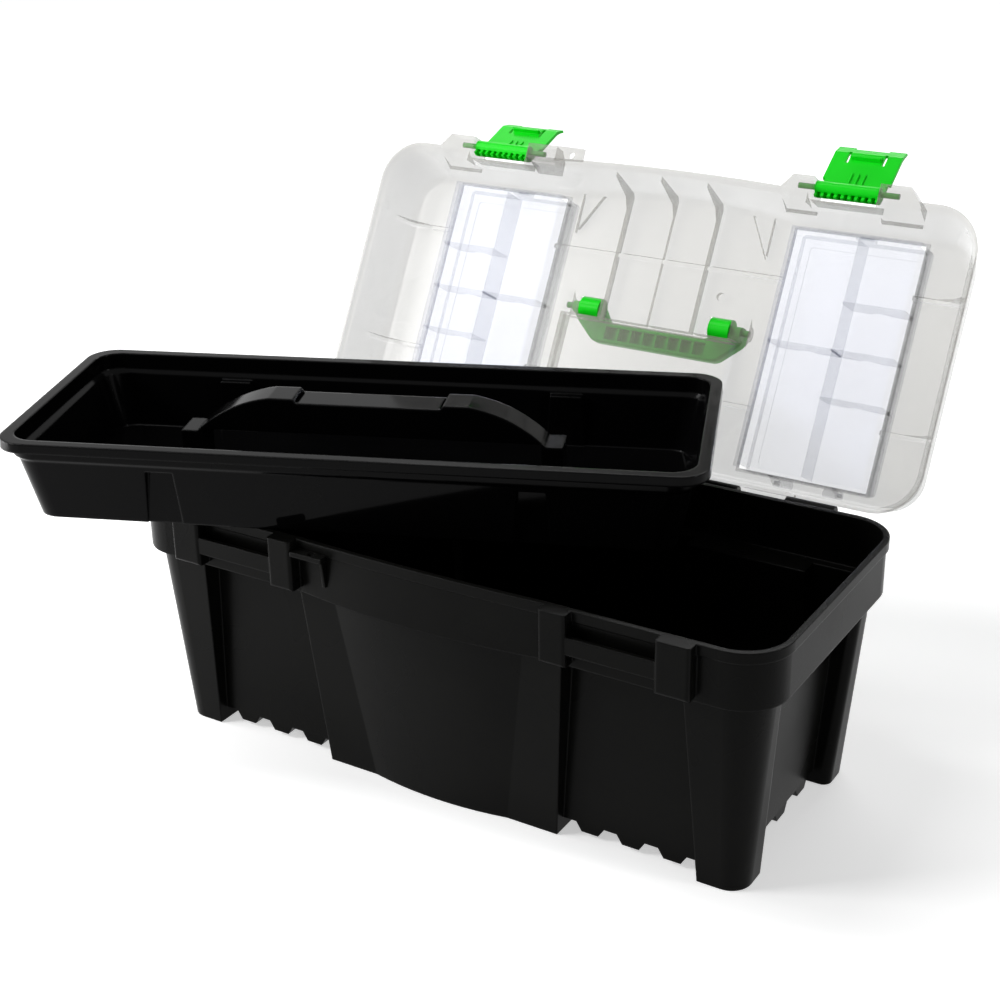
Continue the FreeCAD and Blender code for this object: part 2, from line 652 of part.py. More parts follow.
def lid():
    solid, room = lid_shell()
    inner_skin = both(box(POCKET_INNER - WALL, POCKET_OUTER + WALL, -(HALF_D - LIP_REACH - 1), POCKET_BACK + WALL,
                          LID_LOW, POCKET_TOP + WALL))
    well = box(-WELL_HALF - ORG_WALL, WELL_HALF + ORG_WALL, WELL_FRONT - ORG_WALL, WELL_BACK + ORG_WALL,
               LID_TOP - WELL_DEPTH - ORG_WALL, LID_TOP - 1)
    inner_ear, outer_ear = ears()
    blocks = [inner_ear] + both(outer_ear)
    shape = solid.cut(room)
    inside = solid.common(Part.Compound(lid_ribs()))
    shape = shape.fuse(inside.Solids + inner_skin + [well] + blocks)
    cuts = both(box(POCKET_INNER, POCKET_OUTER, EAR_FRONT - 5, POCKET_BACK, LID_LOW - 1, POCKET_TOP))
    # The openings that the organiser bins hang in
    cuts += both(box(ORG_INNER - BIN_FIT, ORG_OUTER + BIN_FIT, ORG_FRONT - BIN_FIT, ORG_BACK + BIN_FIT,
                     ORG_FLOOR - ORG_WALL - BIN_FIT, LID_TOP + 1))
    reach = math.sqrt(HANDLE_DRUM ** 2 - HANDLE_LIFT ** 2) + WINDOW_GAP
    cuts += both(box(DRUM_INNER - WINDOW_GAP, DRUM_OUTER + WINDOW_GAP, HANDLE_PIVOT_Y - reach, HANDLE_PIVOT_Y + reach,
                     LID_TOP - 20, LID_TOP + 1))
    cuts.append(box(-WELL_HALF, WELL_HALF, WELL_FRONT, WELL_BACK, LID_TOP - WELL_DEPTH, LID_TOP + 1))
    shape = shape.cut(cuts).fuse(handle_brackets() + lid_knuckles())
    return shape.cut(lid_bores()).removeSplitter()


def lid_knuckles():
    parts = []
    for i in range(1, KNUCKLE_COUNT, 2):
        x0, x1 = knuckle_span(i)
        barrel = cylinder_x(x0, x1, HINGE_Y, HINGE_Z, KNUCKLE_RADIUS)
        arm = plate([(HINGE_Y, HINGE_Z), (HALF_D + ARM_GAP, HINGE_Z), (HALF_D + ARM_GAP, LID_LOW),
                     (HALF_D - LIP_REACH - 1, LID_LOW), (HALF_D - LIP_REACH - 1, LID_LOW + 12),
                     (HALF_D + 2, LID_LOW + 12), (HINGE_Y + KNUCKLE_RADIUS * 0.7, HINGE_Z + KNUCKLE_RADIUS * 0.7)],
                    x0, x1)
        parts += both(barrel.fuse(arm))
    return parts


def handle_brackets():
    x0 = HANDLE_HALF + BRACKET_GAP
    x1 = x0 + BRACKET_THICK
    y = HANDLE_PIVOT_Y
    r = TRUNNION_RADIUS + 4.0
    post = box(x0, x1, y - r, y + r, LID_TOP - 1, HANDLE_PIVOT_Z)
    cap = cylinder_x(x0, x1, y, HANDLE_PIVOT_Z, r)
    foot = plate([(y - r - 8, LID_TOP - 1), (y - r, LID_TOP + 6), (y + r, LID_TOP + 6), (y + r + 8, LID_TOP - 1)], x0, x1)
    return both(post.fuse([cap, foot]))


COVER_AXIS_Y = ORG_BACK + COVER_AXIS_BACK
COVER_LOW = ORG_TOP + COVER_GAP
COVER_TOP = COVER_LOW + COVER_THICK
COVER_AXIS_Z = COVER_LOW + COVER_THICK / 2
ORG_MIDDLE = (ORG_INNER + ORG_OUTER) / 2


def cover_lug_spans():
    spans = []
    for s in (-1, 1):
        x = ORG_MIDDLE + s * COVER_LUG_OFFSET
        spans.append((x - COVER_LUG_WIDTH / 2, x + COVER_LUG_WIDTH / 2))
    return spans


def cover_lugs():
    parts = []
    for x0, x1 in cover_lug_spans():
        barrel = cylinder_x(x0, x1, COVER_AXIS_Y, COVER_AXIS_Z, COVER_BARREL)
        post = plate([(ORG_BACK - 1, ORG_TOP - 16), (ORG_BACK - 1, ORG_TOP - 1), (COVER_AXIS_Y, COVER_AXIS_Z),
                      (COVER_AXIS_Y + COVER_BARREL, COVER_AXIS_Z), (ORG_BACK + 1, ORG_TOP - 16)], x0, x1)
        parts.append(barrel.fuse(post))
    return parts


def lid_bores():
    holes = []
    holes += both(cylinder_x(HINGE_INNER - 1, HINGE_OUTER + 1, HINGE_Y, HINGE_Z, PIN_RADIUS + PIN_FIT))
    holes += both(cylinder_x(POCKET_INNER - ROD_BITE, POCKET_OUTER + ROD_BITE, PIVOT_Y, PIVOT_Z,
                             ROD_RADIUS + PIN_FIT))
    holes += both(cylinder_x(HANDLE_HALF, HANDLE_HALF + TRUNNION_LENGTH + BRACKET_GAP, HANDLE_PIVOT_Y,
                             HANDLE_PIVOT_Z, TRUNNION_RADIUS + PIN_FIT))
    return holes


def divider_grooves():
    cuts = []
    half = DIVIDER_THICK / 2 + DIVIDER_FIT
    for y, lo, hi in divider_places():
        cuts.append(box(lo - GROOVE_DEPTH, hi + GROOVE_DEPTH, y - half, y + half, ORG_FLOOR, ORG_TOP + 1))
    return cuts


def divider_places():
    """Each divider's y and the clear span it crosses, in the right organiser."""
    low = ORG_INNER + ORG_WALL
    mid0 = PARTITION_X - PARTITION_THICK / 2
    mid1 = PARTITION_X + PARTITION_THICK / 2
    high = ORG_OUTER - ORG_WALL
    places = [(y, mid1, high) for y in DIVIDER_YS]
    places.append((WIDE_DIVIDER_Y, low, mid0))
    return places


def divider(y, lo, hi):
    bite = GROOVE_DEPTH - DIVIDER_FIT
    plain = box(lo - bite, hi + bite, y - DIVIDER_THICK / 2, y + DIVIDER_THICK / 2, ORG_FLOOR, ORG_TOP - 2)
    notch = Part.makeCylinder(9.0, DIVIDER_THICK + 2, V((lo + hi) / 2, y - DIVIDER_THICK / 2 - 1, ORG_TOP), V(0, 1, 0))
    return plain.cut(notch)


def cover():
    x0 = ORG_INNER - COVER_OVERHANG
    x1 = ORG_OUTER + COVER_OVERHANG
    panel = loft(block(x0, x1, ORG_FRONT - COVER_OVERHANG, ORG_BACK + 0.2, 4.0, COVER_LOW),
                 block(x0, x1, ORG_FRONT - COVER_OVERHANG, ORG_BACK + 0.2, 4.0, COVER_TOP))
    rim_outer = block(x0 + 6, x1 - 6, ORG_FRONT + 6, ORG_BACK - 6, 4.0, COVER_TOP - 0.5)
    rim_inner = block(x0 + 9, x1 - 9, ORG_FRONT + 9, ORG_BACK - 9, 3.0, COVER_TOP - 0.5)
    ring = Part.Face(rim_outer).cut(Part.Face(rim_inner)).extrude(V(0, 0, 2.0))
    parts = [ring]
    for i, (l0, l1) in enumerate(cover_lug_spans()):
        gap = 0.4
        if i == 0:
            b0 = l1 + gap
            b1 = b0 + COVER_BARREL_WIDTH
            s0, s1 = l0 + 0.5, b0 + 1
        else:
            b1 = l0 - gap
            b0 = b1 - COVER_BARREL_WIDTH
            s0, s1 = b1 - 1, l1 - 0.5
        parts.append(cylinder_x(b0, b1, COVER_AXIS_Y, COVER_AXIS_Z, COVER_BARREL))
        parts.append(box(b0, b1, ORG_BACK - 2, COVER_AXIS_Y, COVER_LOW, COVER_TOP))
        parts.append(cylinder_x(s0, s1, COVER_AXIS_Y, COVER_AXIS_Z, COVER_STUB))
    half = COVER_CATCH_WIDTH / 2
    y1 = ORG_FRONT - 0.6
    catch = plate([(y1 - COVER_CATCH_THICK, COVER_LOW - COVER_CATCH_DROP), (y1, COVER_LOW - COVER_CATCH_DROP),
                   (y1, COVER_TOP), (y1 - COVER_CATCH_THICK, COVER_TOP), (y1 - COVER_CATCH_THICK - 4, COVER_TOP + 1.5),
                   (y1 - COVER_CATCH_THICK - 4, COVER_TOP - 1), (y1 - COVER_CATCH_THICK, COVER_LOW - 2)],
                  ORG_MIDDLE - half, ORG_MIDDLE + half)
    parts.append(catch)
    return panel.fuse(parts).removeSplitter()


def latch():
    """A latch in its closed place on the right, hanging from its rod over the catch bar."""
    mid = LATCH_MIDDLE
    inner = PIVOT_Y - BARREL_RADIUS
    outer = inner - LATCH_THICK
    low = PIVOT_Z - LATCH_LENGTH
    half = LATCH_WIDTH / 2
    wide = LATCH_PLATE_WIDTH / 2
    neck = PIVOT_Z - LATCH_NECK
    # The plate: narrow between the lid's ears, wide below them, with a finger lip curled out at the bottom
    parts = [plate([(outer, neck - 1), (outer, PIVOT_Z), (inner, PIVOT_Z), (inner, neck - 1)], mid - half, mid + half)]
    lip = [(outer, neck), (outer, low + 12), (outer - LATCH_CURL, low + 6), (outer - 4, low), (outer - 1.4, low),
           (outer + 0.8, low + 5), (inner, low + 10), (inner, neck)]
    body = plate(lip, mid - wide, mid + wide)
    # A shallow notch in the middle of the lip leaves a tongue at each side
    notch = LATCH_PLATE_WIDTH / 4
    body = body.cut(box(mid - notch, mid + notch, outer - 10, inner, low - 1, low + 2.5))
    # The drum round the rod, with a crown that carries the plate
    crown = cylinder_x(mid - half, mid + half, PIVOT_Y, PIVOT_Z, BARREL_RADIUS + LATCH_THICK)
    parts.append(crown.common(box(mid - half, mid + half, outer - 1, PIVOT_Y, PIVOT_Z, PIVOT_Z + 20)))
    parts.append(cylinder_x(mid - half, mid + half, PIVOT_Y, PIVOT_Z, BARREL_RADIUS))
    # The hook that snaps under the catch bar
    top = CATCH_LOW - CATCH_GAP
    tip = -(HALF_D + CATCH_REACH) + NOSE_BITE
    parts.append(plate([(outer + 0.5, top), (tip, top), (tip, top - 2), (outer + 1.5, top - 5)],
                       mid - NOSE_WIDTH / 2, mid + NOSE_WIDTH / 2))
    # Stiffening ribs up the inner face, from the hook to the drum
    for i in (-1, 0, 1):
        x = mid + i * LATCH_RIB_PITCH
        parts.append(box(x - LATCH_RIB_WIDTH / 2, x + LATCH_RIB_WIDTH / 2, inner - 0.5, inner + LATCH_RIB_RISE,
                         CATCH_HIGH + RIB_CLEAR, PIVOT_Z - BARREL_RADIUS + 1))
    shape = body.fuse(parts)
    cuts = [cylinder_x(mid - wide - 1, mid + wide + 1, PIVOT_Y, PIVOT_Z, ROD_RADIUS + PIN_FIT * 2)]
    # The comb of slots across the crown
    for i in range(COMB_SLOTS):
        x = mid + (i - (COMB_SLOTS - 1) / 2) * COMB_PITCH
        cuts.append(box(x - COMB_SLOT / 2, x + COMB_SLOT / 2, PIVOT_Y + 1 - COMB_REACH, PIVOT_Y + 1,
                        PIVOT_Z + ROD_RADIUS, PIVOT_Z + 20))
    # A slit at each side of the hook lets it spring
    for s in (-1, 1):
        x = mid + s * (NOSE_WIDTH / 2 + LATCH_SLIT)
        cuts.append(box(x - LATCH_SLIT / 2, x + LATCH_SLIT / 2, outer - 6, inner + 1, top - 9, top + 4))
    return shape.cut(cuts).removeSplitter()


def rod():
    x0 = POCKET_INNER - ROD_BITE + 0.5
    x1 = POCKET_OUTER + ROD_BITE - 0.5
    return cylinder_x(x0, x1, PIVOT_Y, PIVOT_Z, ROD_RADIUS)


def handle():
    """The carrying handle folded down: a drum at each end turns in the lid's roof, the grip lies between."""
    y0 = HANDLE_PIVOT_Y
    z0 = HANDLE_PIVOT_Z
    back = y0 + GRIP_REACH + GRIP_WIDTH / 2
    front = back - GRIP_WIDTH
    low = z0 + GRIP_LIFT - GRIP_THICK / 2
    top = low + GRIP_THICK
    lug_front = y0 - HUB_RADIUS
    corners = [(-HANDLE_HALF, lug_front, 3), (-DRUM_INNER - 4, lug_front, 6), (-DRUM_INNER + 6, front, 8),
               (DRUM_INNER - 6, front, 8), (DRUM_INNER + 4, lug_front, 6), (HANDLE_HALF, lug_front, 3),
               (HANDLE_HALF, y0 + 9, 10), (GRIP_HALF + 6, back, 14), (-GRIP_HALF - 6, back, 14),
               (-HANDLE_HALF, y0 + 9, 10)]
    slab = Part.Face(outline(corners, low)).extrude(V(0, 0, top - low))
    rims = [e for e in slab.Edges if min(abs(e.CenterOfMass.z - low), abs(e.CenterOfMass.z - top)) < 0.01]
    slab = slab.makeChamfer(GRIP_EDGE, rims)
    slab = slab.cut(box(-GRIP_HALF + 6, GRIP_HALF - 6, front + 4, back - 4, low - 1, top - 4))
    parts = [box(x - 1.2, x + 1.2, front + 3, back - 3, low + 1, top - 3) for x in (-39, -26, -13, 0, 13, 26, 39)]
    lug = plate([(y0 - HUB_RADIUS, z0), (y0 + HUB_RADIUS, z0), (y0 + HUB_RADIUS + 3, low + 3), (y0 - HUB_RADIUS, low + 3)],
                DRUM_INNER, HANDLE_HALF)
    hub = cylinder_x(DRUM_INNER, HANDLE_HALF, y0, z0, HUB_RADIUS)
    drum = cylinder_x(DRUM_INNER, DRUM_OUTER, y0, z0, HANDLE_DRUM)
    stub = cylinder_x(HANDLE_HALF - 1, HANDLE_HALF + TRUNNION_LENGTH, y0, z0, TRUNNION_RADIUS)
    parts += both(lug.fuse([hub, drum, stub]))
    return slab.fuse(parts).removeSplitter()


def tray_wire(z, ex, ey, r):
    return block(-ex, ex, -ey, ey, r, z)


def tray_flute(skin):
    """A drafted channel that runs up the outside of a long wall."""
    wide = FLUTE_WIDTH / 2 + skin
    mid = FLUTE_INNER + FLUTE_WIDTH / 2
    y_out = TRAY_DEPTH / 2 - TRAY_FLANGE
    lo = wide + FLUTE_SPREAD
    pts = [(mid - lo, -1 if not skin else 0), (mid + lo, -1 if not skin else 0),
           (mid + wide, FLUTE_HEIGHT + skin), (mid - wide, FLUTE_HEIGHT + skin)]
    depth = FLUTE_DEPTH + skin
    wire = Part.makePolygon([V(x, -y_out - 3, z) for x, z in pts + pts[:1]])
    return Part.Face(wire).extrude(V(0, depth + 3, 0))


def tray():
    ex = TRAY_LENGTH / 2
    ey = TRAY_DEPTH / 2
    wx = ex - TRAY_FLANGE
    wy = ey - TRAY_FLANGE
    r = TRAY_RADIUS
    bottom = (wx - TRAY_STEP - TRAY_END_DRAFT, wy - TRAY_STEP - TRAY_SIDE_DRAFT)
    step = (wx - TRAY_STEP, wy - TRAY_STEP + 2)
    z_step = TRAY_STEP_HEIGHT
    outer = [loft(tray_wire(0, bottom[0], bottom[1], r - 6), tray_wire(z_step - 3, step[0], step[1], r - 4)),
             loft(tray_wire(z_step - 3, step[0], step[1], r - 4), tray_wire(z_step, wx, wy, r - 2)),
             loft(tray_wire(z_step, wx, wy, r - 2), tray_wire(TRAY_HEIGHT, wx, wy, r - 2))]
    t = TRAY_WALL
    inner = [loft(tray_wire(t, bottom[0] - t, bottom[1] - t, r - 6 - t),
                  tray_wire(z_step - 2, step[0] - t, step[1] - t, r - 4 - t)),
             loft(tray_wire(z_step - 2, step[0] - t, step[1] - t, r - 4 - t),
                  tray_wire(z_step + 1, wx - t, wy - t, r - 2 - t)),
             loft(tray_wire(z_step + 1, wx - t, wy - t, r - 2 - t),
                  tray_wire(TRAY_HEIGHT + 1, wx - t, wy - t, r - 2 - t))]
    flange = loft(tray_wire(TRAY_HEIGHT - TRAY_LIP, ex, ey, r), tray_wire(TRAY_HEIGHT, ex - 0.8, ey - 0.8, r - 0.8))
    under = loft(tray_wire(TRAY_HEIGHT - TRAY_LIP - 1, ex - t, ey - t, r - t),
                 tray_wire(TRAY_HEIGHT - t, ex - t, ey - t, r - t))
    flange = flange.cut(under)
    shape = outer[0].fuse(outer[1:])
    full = shape.copy()
    flutes = []
    skins = []
    for s in (-1, 1):
        for f, group in ((0.0, flutes), (t, skins)):
            a = tray_flute(f)
            if s > 0:
                a = a.mirror(V(0, 0, 0), V(0, 1, 0))
            group += both(a)
    shape = shape.fuse(flange)
    shape = shape.cut(inner[0].fuse(inner[1:]))
    shape = shape.fuse([g.common(full) for g in skins])
    shape = shape.cut(flutes)
    arch, hollow = tray_arch()
    shape = shape.fuse(arch).cut(hollow)
    return shape.removeSplitter()


def tray_arch():
    t = TRAY_WALL
    w = ARCH_HALF_WIDTH

    def profile(d, low):
        """Half of the arch's outline from the foot to the grip, drawn in by d."""
        a0 = V(ARCH_SPRING - d, 0, ARCH_FOOT_TOP + 1)
        a1 = V(ARCH_SHOULDER_X - d * 0.6, 0, ARCH_SHOULDER_Z - d * 0.8)
        a2 = V(ARCH_CROWN_HALF - d * 0.2, 0, ARCH_TOP - d)
        g0 = V(TRAY_GRIP_HALF + 3 - d, 0, ARCH_TOP - d)
        g1 = V(TRAY_GRIP_HALF - d, 0, TRAY_GRIP_TOP - d)
        right = [Part.Arc(a0, a1, a2).toShape(), Part.LineSegment(a2, g0).toShape(),
                 Part.LineSegment(g0, g1).toShape()]
        m = [V(-p.x, 0, p.z) for p in (a0, a1, a2, g0, g1)]
        left = [Part.LineSegment(m[4], m[3]).toShape(), Part.LineSegment(m[3], m[2]).toShape(),
                Part.Arc(m[2], m[1], m[0]).toShape()]
        b0 = V(a0.x, 0, low)
        base = [Part.LineSegment(m[0], V(-a0.x, 0, low)).toShape(), Part.LineSegment(V(-a0.x, 0, low), b0).toShape(),
                Part.LineSegment(b0, a0).toShape()]
        return Part.Wire(right + [Part.LineSegment(g1, m[4]).toShape()] + left + base)

    band = Part.Face(profile(0, ARCH_UNDER - 3)).extrude(V(0, 2 * w, 0))
    band.translate(V(0, -w, 0))
    under = box(-ARCH_FOOT_INNER, ARCH_FOOT_INNER, -w - 1, w + 1, ARCH_UNDER - 10, ARCH_UNDER)
    band = band.cut(under)
    feet = both(box(ARCH_FOOT_INNER, ARCH_FOOT_OUTER, -w, w, 0, ARCH_FOOT_TOP + 1))
    hollow_band = Part.Face(profile(t, ARCH_UNDER - 10)).extrude(V(0, 2 * (w - t), 0))
    hollow_band.translate(V(0, -(w - t), 0))
    keep = box(-ARCH_FOOT_INNER + t, ARCH_FOOT_INNER - t, -w, w, ARCH_UNDER - 5, ARCH_TOP)
    hollow_band = hollow_band.common(keep)
    hollow_feet = both(box(ARCH_FOOT_INNER + t, ARCH_FOOT_OUTER - t, -w + t, w - t, -1, ARCH_FOOT_TOP - t))
    return [band] + feet, [hollow_band] + hollow_feet


def place_tray(shape):
    moved = shape.copy()
    moved.rotate(V(0, 0, 0), V(0, 0, 1), TRAY_YAW)
    moved.translate(V(TRAY_CENTRE_X, TRAY_CENTRE_Y, TUB_HEIGHT + TRAY_SEAT_GAP))
    return moved


def open_lid(shape):
    moved = shape.copy()
    moved.rotate(V(0, HINGE_Y, HINGE_Z), V(1, 0, 0), -OPEN_ANGLE)
    return moved


def open_latch(shape, angle):
    moved = shape.copy()
    moved.rotate(V(0, PIVOT_Y, PIVOT_Z), V(1, 0, 0), -angle)
    return moved


def hinge_pin():
    x0 = HINGE_INNER + 0.5
    x1 = HINGE_OUTER - 0.5
    return cylinder_x(x0, x1, HINGE_Y, HINGE_Z, PIN_RADIUS)


os.makedirs("parts", exist_ok=True)
nodes = {}
nodes["tub"] = tub()
nodes["tub_padlock_tab"] = padlock_tab(nodes["tub"])
nodes["hinge_pin_right"] = hinge_pin()
nodes["hinge_pin_left"] = mirrored(hinge_pin())
closed_lid = lid()
nodes["lid"] = open_lid(closed_lid)
nodes["lid_padlock_ear"] = open_lid(padlock_ear(closed_lid))
nodes["organiser_bin_right"] = open_lid(organiser_bin())
nodes["organiser_bin_left"] = open_lid(mirrored(organiser_bin()))
right_latch = latch()
nodes["latch_right"] = open_lid(open_latch(right_latch, LATCH_RIGHT_OPEN))
nodes["latch_left"] = open_lid(open_latch(mirrored(right_latch), LATCH_LEFT_OPEN))
nodes["latch_rod_right"] = open_lid(rod())
nodes["latch_rod_left"] = open_lid(mirrored(rod()))
nodes["carry_handle"] = open_lid(handle())
nodes["organiser_cover_right"] = open_lid(cover())
nodes["organiser_cover_left"] = open_lid(mirrored(cover()))
for i, (y, lo, hi) in enumerate(divider_places()):
    piece = divider(y, lo, hi)
    name = "divider_wide" if i == len(DIVIDER_YS) else "divider_%d" % (i + 1)
    nodes[name + "_right"] = open_lid(piece)
    nodes[name + "_left"] = open_lid(mirrored(piece))
nodes["tray"] = place_tray(tray())

for name, shape in nodes.items():
    shape.exportStep("parts/%s.step" % name)
    b = shape.BoundBox
    print("%-24s solids %d valid %s volume %.1f cm3  x %.1f..%.1f y %.1f..%.1f z %.1f..%.1f" % (
        name, len(shape.Solids), shape.isValid(), shape.Volume / 1000, b.XMin, b.XMax, b.YMin, b.YMax, b.ZMin, b.ZMax))
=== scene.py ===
import bpy
import math
from mathutils import Matrix, Vector

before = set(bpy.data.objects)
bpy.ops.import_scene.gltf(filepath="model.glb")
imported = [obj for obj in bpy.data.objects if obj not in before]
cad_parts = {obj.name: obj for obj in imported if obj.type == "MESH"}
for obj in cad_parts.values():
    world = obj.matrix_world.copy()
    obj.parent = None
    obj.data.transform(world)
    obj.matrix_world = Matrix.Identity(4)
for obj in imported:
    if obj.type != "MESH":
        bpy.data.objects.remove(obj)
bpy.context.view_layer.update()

# Camera: where it stood, which way it looked and its focal length, solved from edges in the photograph
CAMERA_PLACE = Vector((0.6984, -1.1311, 0.8148))
CAMERA_AZIMUTH = math.radians(31.92)
CAMERA_ELEVATION = math.radians(23.81)
CAMERA_ROLL = math.radians(-0.98)
FOCAL_PIXELS = 1750.0
CENTRE_PIXEL = (497.2, 500.3)
IMAGE = 1000.0
SENSOR = 36.0
CLIP_END = 50.0

# Opaque plastics. shades: the two linear colours that the surface drifts between. drift: how fine it drifts.
# specular: how strongly it reflects. grain, bump: how fine and how strong the moulded grain is.
# rough: the roughness that it varies between. edge: the radius of its edges in shading, in metres.
TUB_PLASTIC = {"shades": ((0.002, 0.002, 0.0019, 1), (0.0045, 0.0045, 0.004, 1)), "drift": 14,
               "specular": 0.05, "grain": 700, "bump": 0.08, "rough": (0.24, 0.34), "edge": 0.002}
TRAY_PLASTIC = {"shades": ((0.0012, 0.0012, 0.0013, 1), (0.0022, 0.0022, 0.0024, 1)), "drift": 14,
                "specular": 0.06, "grain": 300, "bump": 0.02, "rough": (0.07, 0.13), "edge": 0.0026}
GREEN_PLASTIC = {"shades": ((0.002, 0.78, 0.01, 1), (0.002, 0.68, 0.008, 1)), "drift": 20,
                 "specular": 0.15, "grain": 400, "bump": 0.08, "rough": (0.28, 0.4), "edge": 0.0008}

# Clear plastics, which differ in the colour of their faces, in how much they cover and in roughness
LID_PLASTIC = {"face": (0.2, 0.188, 0.14, 1), "alpha": 0.33, "rough": (0.2, 0.32)}
BIN_PLASTIC = {"face": (0.47, 0.51, 0.7, 1), "alpha": 0.15, "rough": (0.34, 0.46)}
# Painted edge sheen: the white that is painted into the clear plastics' colour where their surface is seen
# edge-on, and the blend of the facing weight that mixes it in
PAINTED_EDGE_SHEEN = (0.93, 0.95, 0.97, 1)
PAINTED_EDGE_SHEEN_BLEND = 0.2
CLEAR_IOR = 1.49
CLEAR_SPECULAR = 0.6
CLEAR_SHEEN = 0.25
CLEAR_SHEEN_ROUGH = 0.3
CLEAR_GRAIN = 260
CLEAR_BUMP = 0.12
CLEAR_EDGE_RADIUS = 0.001

# Noise that all the plastics share
DRIFT_DETAIL = 4
GRAIN_DETAIL = 3
GRAIN_DEPTH = 0.0004
EDGE_SAMPLES = 6
ROUGH_SCALE = 9
ROUGH_NOISE_LOW = 0.3
ROUGH_NOISE_HIGH = 0.7

# Floor, in metres. The white it adds for the camera is GLOW_NEAR up to the near distance from the origin,
# where the object's shadow lies, and rises to GLOW_FAR at the far distance.
FLOOR_COLOUR = (0.93, 0.93, 0.93, 1)
FLOOR_ROUGH = 0.9
FLOOR_HALF = 12.0
FLOOR_DROP = 0.0005
GLOW_NEAR = 0.5
GLOW_FAR = 0.9
GLOW_NEAR_DISTANCE = 0.5
GLOW_FAR_DISTANCE = 2.2

# How strongly the white world lights the object
WORLD_LIGHT = 0.1
WHITE = (1, 1, 1, 1)

# Area lamps: name, place, point faced, width and height in metres, watts
LAMPS = (
    ("key", (-1.6, -1.4, 1.5), (0, 0, 0.2), (0.7, 0.5), 26),
    ("side", (2.3, 0.2, 1.2), (0, 0, 0.2), (0.3, 0.7), 9),
    # A low card at the left, for the soft light on the tub's slopes
    ("low card", (-1.5, -0.75, 0.22), (0, 0, 0.12), (0.7, 0.36), 16),
    # Two long strips, one high at the left and one behind, for reflections along the moulded edges
    ("strip over the length", (-1.1, -0.3, 2.1), (0, 0, 0.2), (0.4, 2.0), 24),
    ("strip at the back", (-0.4, 2.0, 1.9), (0, 0, 0.25), (2.2, 0.35), 18),
)


def add_camera():
    """Stands the camera where the photograph was taken from."""
    back = Vector((math.sin(CAMERA_AZIMUTH) * math.cos(CAMERA_ELEVATION),
                   -math.cos(CAMERA_AZIMUTH) * math.cos(CAMERA_ELEVATION), math.sin(CAMERA_ELEVATION)))
    right = (-back).cross(Vector((0, 0, 1))).normalized()
    up = back.cross(right)
    c, s = math.cos(CAMERA_ROLL), math.sin(CAMERA_ROLL)
    x = right * c + up * s
    y = up * c - right * s
    data = bpy.data.cameras.new("camera")
    data.sensor_width = SENSOR
    data.lens = FOCAL_PIXELS * SENSOR / IMAGE
    data.shift_x = (IMAGE / 2 - CENTRE_PIXEL[0]) / IMAGE
    data.shift_y = (CENTRE_PIXEL[1] - IMAGE / 2) / IMAGE
    data.clip_end = CLIP_END
    cam = bpy.data.objects.new("camera", data)
    cam.matrix_world = Matrix(((x.x, y.x, back.x, CAMERA_PLACE.x),
                               (x.y, y.y, back.y, CAMERA_PLACE.y),
                               (x.z, y.z, back.z, CAMERA_PLACE.z),
                               (0, 0, 0, 1)))
    bpy.context.scene.collection.objects.link(cam)
    bpy.context.scene.camera = cam


def material(name):
    m = bpy.data.materials.new(name)
    m.use_nodes = True
    nodes = m.node_tree.nodes
    return m, nodes, m.node_tree.links, nodes["Principled BSDF"]


def surface(nodes, links, shader, grain, bump, rough, edge):
    """Fine moulded grain over softly rounded edges, and a roughness that varies slowly over the surface."""
    coords = nodes.new("ShaderNodeTexCoord")
    fine = nodes.new("ShaderNodeTexNoise")
    fine.inputs["Scale"].default_value = grain
    fine.inputs["Detail"].default_value = GRAIN_DETAIL
    links.new(coords.outputs["Object"], fine.inputs["Vector"])
    bumps = nodes.new("ShaderNodeBump")
    bumps.inputs["Strength"].default_value = bump
    bumps.inputs["Distance"].default_value = GRAIN_DEPTH
    links.new(fine.outputs["Fac"], bumps.inputs["Height"])
    rounding = nodes.new("ShaderNodeBevel")
    rounding.samples = EDGE_SAMPLES
    rounding.inputs["Radius"].default_value = edge
    links.new(rounding.outputs["Normal"], bumps.inputs["Normal"])
    links.new(bumps.outputs["Normal"], shader.inputs["Normal"])
    slow = nodes.new("ShaderNodeTexNoise")
    slow.inputs["Scale"].default_value = ROUGH_SCALE
    links.new(coords.outputs["Object"], slow.inputs["Vector"])
    ramp = nodes.new("ShaderNodeMapRange")
    ramp.inputs["From Min"].default_value = ROUGH_NOISE_LOW
    ramp.inputs["From Max"].default_value = ROUGH_NOISE_HIGH
    ramp.inputs["To Min"].default_value = rough[0]
    ramp.inputs["To Max"].default_value = rough[1]
    links.new(slow.outputs["Fac"], ramp.inputs["Value"])
    links.new(ramp.outputs["Result"], shader.inputs["Roughness"])


def blend_colours(nodes, links, shader, factor, first, second):
    """Colours the surface between two colours by the factor, which is another node's output."""
    mix = nodes.new("ShaderNodeMix")
    mix.data_type = "RGBA"
    mix.inputs["A"].default_value = first
    mix.inputs["B"].default_value = second
    links.new(factor, mix.inputs["Factor"])
    links.new(mix.outputs["Result"], shader.inputs["Base Color"])


def opaque_plastic(name, look):
    """Moulded plastic whose colour drifts slowly between two close shades."""
    m, nodes, links, shader = material(name)
    shader.inputs["Specular IOR Level"].default_value = look["specular"]
    coords = nodes.new("ShaderNodeTexCoord")
    drift = nodes.new("ShaderNodeTexNoise")
    drift.inputs["Scale"].default_value = look["drift"]
    drift.inputs["Detail"].default_value = DRIFT_DETAIL
    links.new(coords.outputs["Object"], drift.inputs["Vector"])
    blend_colours(nodes, links, shader, drift.outputs["Fac"], *look["shades"])
    surface(nodes, links, shader, look["grain"], look["bump"], look["rough"], look["edge"])
    return m


